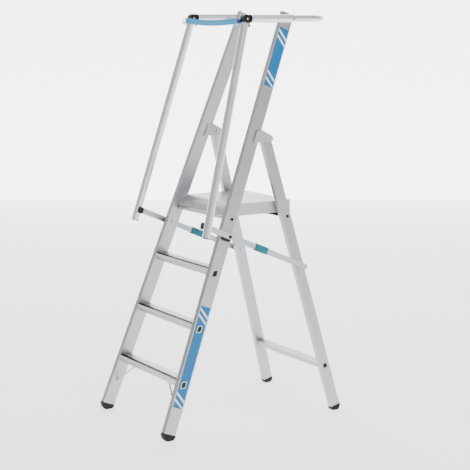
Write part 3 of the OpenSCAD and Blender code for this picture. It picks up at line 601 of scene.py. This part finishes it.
class LADDER_OT_strap(bpy.types.Operator):
    """Make the woven gate strap with its sewn end loops"""
    bl_idname = "ladder.strap"
    bl_label = "Gate strap"

    def execute(self, context):
        s, c = context.scene.ladder_sizes, context.scene.ladder_colours
        low, high = (np.array(v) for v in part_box("strap"))
        hook_high, ring_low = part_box("strap_hook")[1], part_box("strap_buckle")[0]
        y = centre_of("strap")[1]
        bar_left, bar_right = hook_high[0] - s.wire / 2, ring_low[0] + s.wire / 2
        end_z = high[2] - s.webbing_width / 2
        path = loop_path(bar_left, bar_right, s.wire / 2 + s.webbing_thick / 2 + 0.2 * MM,
                         s.webbing_thick / 2 + 0.05 * MM, s.webbing_tail)
        span = (path[:, 0] - bar_left) / (bar_right - bar_left)
        drop = 4 * s.webbing_sag * np.clip(span * (1 - span), 0, 1)
        slope = np.where((span > 0) & (span < 1), -4 * s.webbing_sag * (1 - 2 * span) / (bar_right - bar_left), 0.0)
        centre = np.stack([path[:, 0], y + path[:, 1], end_z - drop], axis=1)
        strap = band("gate_strap", centre, path_normals(path), slope, s.webbing_width, s.webbing_thick)
        own_material(strap, woven("strap", tuple(c.webbing)))
        stitches = self.stitches(context, bar_left, bar_right, y, end_z)
        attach(strap, "handrail_right")
        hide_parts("strap")
        return {"FINISHED"}

    def stitches(self, context, bar_left, bar_right, y, end_z):
        """Rows of short raised threads across each folded end: small rounded bars on a regular grid."""
        s, c = context.scene.ladder_sizes, context.scene.ladder_colours
        parts = []
        front = y - s.webbing_thick - 0.1 * MM
        for bar, way in ((bar_left, 1), (bar_right, -1)):
            for k, offset in enumerate((0.35, 0.85)):
                x = bar + way * s.webbing_tail * offset
                for z in np.linspace(-0.38, 0.38, 9) * s.webbing_width:
                    along = np.linspace(-0.9, 0.9, 5) * MM
                    bow = (1 - (along / (0.9 * MM)) ** 2) * 0.25 * MM
                    line = np.stack([np.full(5, x), front - bow, end_z + z + along
                                     - 4 * s.webbing_sag * offset * s.webbing_tail / (bar_right - bar_left)], axis=1)
                    parts.append(tube_along("stitch", line, (1, 0, 0), 0.32 * MM, segments=8))
        thread = moulded("thread", scaled(tuple(c.webbing), 0.45), 0.7, 0.00002)
        for part in parts:
            own_material(part, thread)
        return joined("strap_stitching", parts, "handrail_right")


def loop_path(left, right, turn, half, tail):
    """Flat loop in plan, as (n, 2) points: from the left tail's end behind the strap, round the left bar, along
    the front, round the right bar and back along the right tail. Near each bar the two layers part smoothly
    from half a thickness to the turning radius."""
    def leg(bar, way, sign):
        t = np.linspace(0, 1, 24)
        near = np.clip(t * tail / LAYERS_PART, 0, 1)
        ease = near * near * (3 - 2 * near)
        return np.stack([bar + way * t * tail, sign * (turn + (half - turn) * ease)], axis=1)
    arc = np.linspace(0, np.pi, 13)[1:-1]
    left_arc = np.stack([left - turn * np.sin(arc), turn * np.cos(arc)], axis=1)
    right_arc = np.stack([right + turn * np.sin(arc), -turn * np.cos(arc)], axis=1)
    middle = np.linspace(left + tail, right - tail, 42)[1:-1]
    middle = np.stack([middle, np.full_like(middle, -half)], axis=1)
    return np.concatenate([leg(left, 1, 1)[::-1], left_arc, leg(left, 1, -1), middle,
                           leg(right, -1, -1)[::-1], right_arc, leg(right, -1, 1)])


def path_normals(path):
    """Unit normals in plan of an (n, 2) path, to the left of its direction."""
    tangent = np.gradient(path, axis=0)
    tangent /= np.linalg.norm(tangent, axis=1, keepdims=True)
    return np.stack([-tangent[:, 1], tangent[:, 0]], axis=1)


def band(name, centre, normals, slope, width, thick):
    """Flat webbing along a line of centre points: at each one a rounded rectangle, width by thick, stands
    square to the line, its width upright apart from the slope. U of the map is the length in metres, V runs
    from 0 to 1 over the width."""
    outline = rounded_rect(thick, width, thick * 0.48, 4)
    normal = np.concatenate([normals, np.zeros((len(normals), 1))], axis=1)
    upright = np.stack([-slope, np.zeros_like(slope), np.ones_like(slope)], axis=1)
    upright /= np.linalg.norm(upright, axis=1, keepdims=True)
    points = (centre[:, None, :] + outline[None, :, 0, None] * normal[:, None, :]
              + outline[None, :, 1, None] * upright[:, None, :])
    run = np.concatenate([[0], np.cumsum(np.linalg.norm(np.diff(centre, axis=0), axis=1))])
    uv = np.stack(np.broadcast_arrays(run[:, None], (outline[None, :, 1] / width + 0.5)), axis=-1)
    return grid_piece(name, points, close_v=True, uv=uv, cap_u=True)


def frame_loop(name, low, high, y, wire, radius):
    """Closed wire loop in the plane y: the rounded rectangle between two corners, drawn by the wire's middle."""
    width, height = high[0] - low[0] - wire, high[2] - low[2] - wire
    outline = rounded_rect(width, height, radius, 9)
    middle = (np.array(low) + np.array(high)) / 2
    path = np.stack([middle[0] + outline[:, 0], np.full(len(outline), y), middle[2] + outline[:, 1]], axis=1)
    return tube_along(name, path, (0, 1, 0), wire / 2, closed=True)


class LADDER_OT_clips(bpy.types.Operator):
    """Make the strap's wire ring and snap hook"""
    bl_idname = "ladder.clips"
    bl_label = "Ring and snap hook"

    def execute(self, context):
        s, c = context.scene.ladder_sizes, context.scene.ladder_colours
        steel = plated("clip_steel", tuple(c.steel))
        low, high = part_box("strap_buckle")
        y = centre_of("strap_buckle")[1]
        ring = frame_loop("ring", low, high, y, s.wire * 0.9, 4 * MM)
        own_material(ring, steel)
        joined("strap_ring", [ring], "handrail_right", ["strap_buckle"])
        self.hook(s, steel)
        return {"FINISHED"}

    def hook(self, s, steel):
        """A wire ring open at its outer side for the gate, a short barrel and a flat eye for the strap."""
        low, high = (np.array(v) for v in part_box("strap_hook"))
        y, z = (low[1] + high[1]) / 2, (low[2] + high[2]) / 2
        outer = (high[2] - low[2]) / 2
        radius = outer - s.wire / 2
        x = low[0] + outer
        gate_low, gate_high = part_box("hook_gate")
        # arc from the gate's top, over the ring's inner side, to the gate's foot; 0 points inwards
        start = math.pi - math.asin(min(0.9, (gate_high[2] - z + 0.6 * MM) / radius))
        end = -math.pi + math.asin(min(0.9, (z - gate_low[2] + 0.2 * MM) / radius))
        angle = np.linspace(start, end, 72)
        arc = np.stack([x + radius * np.cos(angle), np.full(72, y), z + radius * np.sin(angle)], axis=1)
        parts = [tube_along("arc", arc, (0, 1, 0), s.wire / 2)]
        eye_low = np.array([high[0] - 9 * MM, y, z - 0.93 * outer])
        eye_high = np.array([high[0], y, z + 0.93 * outer])
        parts.append(frame_loop("eye", eye_low, eye_high, y, s.wire * 0.9, 3 * MM))
        neck = x + radius
        reach = eye_low[0] + s.wire / 2 - neck
        collar = s.wire * 0.95
        parts.append(turned("barrel", (neck - 0.5 * MM, y, z), (1, 0, 0),
                            [(0, collar * 0.7), (0.4 * MM, collar), (reach * 0.45, collar), (reach * 0.5, collar * 0.7),
                             (reach * 0.6, collar * 0.7), (reach * 0.65, collar * 0.9), (reach, collar * 0.9),
                             (reach + 0.5 * MM, collar * 0.6)]))
        for part in parts:
            own_material(part, steel)
        joined("snap_hook", parts, "handrail_right", ["strap_hook"])
        soften(["hook_gate"], 0.5, 2, 40)


class LADDER_OT_pins(bpy.types.Operator):
    """Add the domed pin ends at the handrail joints"""
    bl_idname = "ladder.pins"
    bl_label = "Joint pin ends"

    def execute(self, context):
        steel = plated("pin_steel", tuple(context.scene.ladder_colours.steel))
        dome = np.linspace(0, np.pi / 2, 7)
        for side in SIDES:
            low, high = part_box("rail_knuckle_" + side)
            fork_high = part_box("handrail_fork_" + side)[1]
            axis_z = centre_of("rail_side_" + side)[2]
            # the pin's middle: the round ear is centred on it, and its front edge is the knuckle's lowest y
            ear = fork_high[2] - axis_z
            axis_y = low[1] + ear
            parts = []
            for edge, way in ((high[0], 1), (low[0], -1)):
                profile = [(0.0, PIN_RADIUS)]
                profile += [(PIN_HEIGHT * math.sin(a), PIN_RADIUS * math.cos(a)) for a in dome[1:-1]]
                profile.append((PIN_HEIGHT, 0.25 * MM))
                parts.append(turned("dome", (edge - way * 0.2 * MM, axis_y, axis_z), (way, 0, 0), profile, 32))
            for part in parts:
                own_material(part, steel)
            joined("joint_pin_" + side, parts, "guard_rail")
        return {"FINISHED"}


def web_basis(node):
    """Directions and edges of a leaning box profile: outward (its outer web's normal), rearward (away from the
    front flange), along (up the profile), the web's offset along outward and the front edge's offset."""
    mesh = frame["nodes"][node].data
    normals = np.zeros(len(mesh.polygons) * 3)
    areas = np.zeros(len(mesh.polygons))
    co = np.zeros(len(mesh.vertices) * 3)
    mesh.polygons.foreach_get("normal", normals)
    mesh.polygons.foreach_get("area", areas)
    mesh.vertices.foreach_get("co", co)
    normals, co = normals.reshape(-1, 3), co.reshape(-1, 3)
    sign = 1 if co[:, 0].mean() > 0 else -1

    def mean(mask):
        total = (normals[mask] * areas[mask, None]).sum(0)
        return total / np.linalg.norm(total)

    outward = mean(normals[:, 0] * sign > 0.99)
    rearward = -mean((normals[:, 1] < -0.9) & (np.abs(normals[:, 0]) < 0.1))
    rearward -= outward * (rearward @ outward)
    rearward /= np.linalg.norm(rearward)
    along = np.cross(outward, rearward)
    along *= np.sign(along[2])
    return outward, rearward, along, (co @ outward).max(), (co @ rearward).min()


class LADDER_OT_labels(bpy.types.Operator):
    """Add the two plain blue labels with white diagonal stripes to the right stile's outer web"""
    bl_idname = "ladder.labels"
    bl_label = "Stile labels"

    def execute(self, context):
        s, c = context.scene.ladder_sizes, context.scene.ladder_colours
        blue, white = printed("label", tuple(c.label)), printed("label_stripe", tuple(c.stripe))
        rim = drawn_tube("plug_rim", tuple(c.tube))
        outward, rearward, along, web, front = web_basis("front_stile_right")
        depth = self.web_depth(outward, rearward, front)
        basis = np.stack([rearward, along, outward])

        def plate(name, outline, lift, thick, material):
            """Thin plate on the web: outline is (distance behind the front edge, distance up) points."""
            outline = np.asarray(outline, float)
            layers = []
            for height in (lift, lift + thick):
                local = np.column_stack([outline[:, 0] + front, outline[:, 1], np.full(len(outline), web + height)])
                layers.append(local @ basis)
            points = np.stack(layers)
            return own_material(grid_piece(name, points, close_v=True, cap_u=True, smooth=False), material)

        def up_at(z, behind):
            """Distance along the profile of the point at height z, a given distance behind the front edge."""
            return (z - (behind + front) * rearward[2] - web * outward[2]) / along[2]

        for name, top, foot in (("label_upper", s.upper_top, s.upper_low),
                                ("label_lower", s.lower_top, s.lower_low)):
            d0, d1 = s.label_gap, depth - s.label_gap
            low, high = up_at(foot, d0), up_at(top, d0)
            parts = [plate("film", [(d0, low), (d1, low), (d1, high), (d0, high)], FILM_GAP, s.label_thick, blue)]
            slant = (d1 - d0) * 0.7
            # two stripes near each end, placed by their lower corner at the rear edge
            for start in (low - 4 * MM, low + 25 * MM, high - 44 * MM - slant, high - 18 * MM - slant):
                stripe = [(d0, start + slant), (d1, start), (d1, start + s.stripe_width),
                          (d0, start + slant + s.stripe_width)]
                stripe = [(d, min(max(u, low), high)) for d, u in stripe]
                parts.append(plate("stripe", stripe, s.label_thick + FILM_GAP, 0.08 * MM, white))
            for k in self.plugs_within(foot, top):
                parts += self.rim(plate, k, rearward, along, front, s.label_thick, rim)
            joined(name, parts, "front_frame")
        return {"FINISHED"}

    @staticmethod
    def web_depth(outward, rearward, front):
        """Depth of the web from the front flange to the rear one."""
        mesh = frame["nodes"]["front_stile_right"].data
        co = np.zeros(len(mesh.vertices) * 3)
        mesh.vertices.foreach_get("co", co)
        return (co.reshape(-1, 3) @ rearward).max() - front

    @staticmethod
    def plugs_within(foot, top):
        """Corners of the right-hand square plugs whose middle lies between two heights, one plug per tread."""
        mesh = frame["nodes"]["tread_plugs"].data
        co = np.zeros(len(mesh.vertices) * 3)
        mesh.vertices.foreach_get("co", co)
        co = co.reshape(-1, 3)
        co = co[co[:, 0] > 0]
        plugs = []
        for node in ("tread_low", "tread_middle", "tread_upper"):
            z = centre_of(node)[2]
            near = co[np.abs(co[:, 2] - z) < 0.04]
            if foot < z < top:
                plugs.append(near)
        return plugs

    @staticmethod
    def rim(plate, corners, rearward, along, front, lift, material):
        """Bright border round a plug: four strips outside the plug's four corners on the web."""
        flat = np.column_stack([corners @ rearward - front, corners @ along])
        ways = np.array([(-1, -1), (1, -1), (1, 1), (-1, 1)])
        inner = [flat[np.argmax(flat @ way)] for way in ways]
        outer = [corner + RIM_WIDTH * way for corner, way in zip(inner, ways)]
        return [plate("rim", [outer[i], outer[i - 3], inner[i - 3], inner[i]], lift + FILM_GAP, 0.25 * MM, material)
                for i in range(4)]


class LADDER_OT_stage(bpy.types.Operator):
    """Set the floor, the soft studio light and the camera"""
    bl_idname = "ladder.stage"
    bl_label = "Studio stage"

    def execute(self, context):
        st, c = context.scene.ladder_stage, context.scene.ladder_colours
        low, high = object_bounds()
        reach, level = FLOOR_REACH, low[2] - 0.2 * MM
        floor = grid_piece("floor", np.array([[[-reach, -reach, level], [reach, -reach, level]],
                                              [[-reach, reach, level], [reach, reach, level]]]), smooth=False)
        ahead = np.array([math.cos(st.heading), math.sin(st.heading), 0.0])
        across = np.array([-ahead[1], ahead[0], 0.0])
        foot = (np.array(low) + np.array(high)) / 2 * (1, 1, 0) + ahead * st.wall_away
        up = np.array([0, 0, WALL_HEIGHT])
        left, right = foot + across * WALL_REACH, foot - across * WALL_REACH
        wall = grid_piece("wall", np.array([[left, left + up], [right, right + up]]), smooth=False)
        for piece, glow in ((floor, st.floor_glow), (wall, st.wall_glow)):
            n = Nodes(piece.name + "_paint", tuple(c.floor), roughness=0.8)
            n.shader.inputs["Specular IOR Level"].default_value = 0.1
            n.shader.inputs["Emission Color"].default_value = (1, 1, 1, 1)
            n.shader.inputs["Emission Strength"].default_value = glow
            own_material(piece, n.material)
        world = bpy.data.worlds.new("studio")
        world.use_nodes = True
        world.node_tree.nodes["Background"].inputs["Color"].default_value = (1, 1, 1, 1)
        world.node_tree.nodes["Background"].inputs["Strength"].default_value = st.world
        context.scene.world = world
        centre = (Vector(low) + Vector(high)) / 2
        lights = [self.panel("key_light", centre + Vector((2.2, 0.4, 3.4)), centre, 3.0, st.key),
                  self.panel("fill_light", centre + Vector((4.0, -0.6, 1.2)), centre, 2.4, st.fill)]
        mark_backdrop(floor, wall, *lights)
        camera = bpy.data.objects.new("camera", bpy.data.cameras.new("camera"))
        context.scene.collection.objects.link(camera)
        camera.data.sensor_width = 36
        camera.data.lens = st.lens
        camera.data.clip_end = 200
        camera.location = (st.camera_side, -st.camera_front, st.camera_height)
        look = Vector((math.cos(st.heading) * math.cos(st.pitch), math.sin(st.heading) * math.cos(st.pitch),
                       -math.sin(st.pitch)))
        camera.rotation_euler = look.to_track_quat("-Z", "Y").to_euler()
        context.scene.camera = camera
        return {"FINISHED"}

    @staticmethod
    def panel(name, place, target, size, power):
        """Square area light that faces a point."""
        light = bpy.data.lights.new(name, "AREA")
        light.size = size
        light.energy = power
        obj = bpy.data.objects.new(name, light)
        bpy.context.scene.collection.objects.link(obj)
        obj.location = place
        obj.rotation_euler = (target - place).to_track_quat("-Z", "Y").to_euler()
        return obj


class LADDER_PT_panel(bpy.types.Panel):
    """Sidebar panel with the settings and one button per group of pieces"""
    bl_label = "Platform step ladder"
    bl_idname = "LADDER_PT_panel"
    bl_space_type = "VIEW_3D"
    bl_region_type = "UI"
    bl_category = "Ladder"

    def draw(self, context):
        layout = self.layout
        for operator in OPERATORS:
            layout.operator(operator.bl_idname)
        for group in (context.scene.ladder_colours, context.scene.ladder_sizes, context.scene.ladder_stage):
            box = layout.box()
            for name in group.__annotations__:
                box.prop(group, name)


OPERATORS = (LADDER_OT_frame, LADDER_OT_mouldings, LADDER_OT_clips, LADDER_OT_strap, LADDER_OT_pins,
             LADDER_OT_labels, LADDER_OT_stage)
CLASSES = (LadderColours, LadderSizes, LadderStage, *OPERATORS, LADDER_PT_panel)


def register():
    for cls in CLASSES:
        bpy.utils.register_class(cls)
    bpy.types.Scene.ladder_colours = bpy.props.PointerProperty(type=LadderColours)
    bpy.types.Scene.ladder_sizes = bpy.props.PointerProperty(type=LadderSizes)
    bpy.types.Scene.ladder_stage = bpy.props.PointerProperty(type=LadderStage)


def unregister():
    for name in ("ladder_colours", "ladder_sizes", "ladder_stage"):
        delattr(bpy.types.Scene, name)
    for cls in reversed(CLASSES):
        bpy.utils.unregister_class(cls)


def main():
    """Registers the add-on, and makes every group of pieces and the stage."""
    register()
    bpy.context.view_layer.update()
    for operator in OPERATORS:
        group, name = operator.bl_idname.split(".")
        getattr(getattr(bpy.ops, group), name)()


if __name__ == "__main__":
    main()
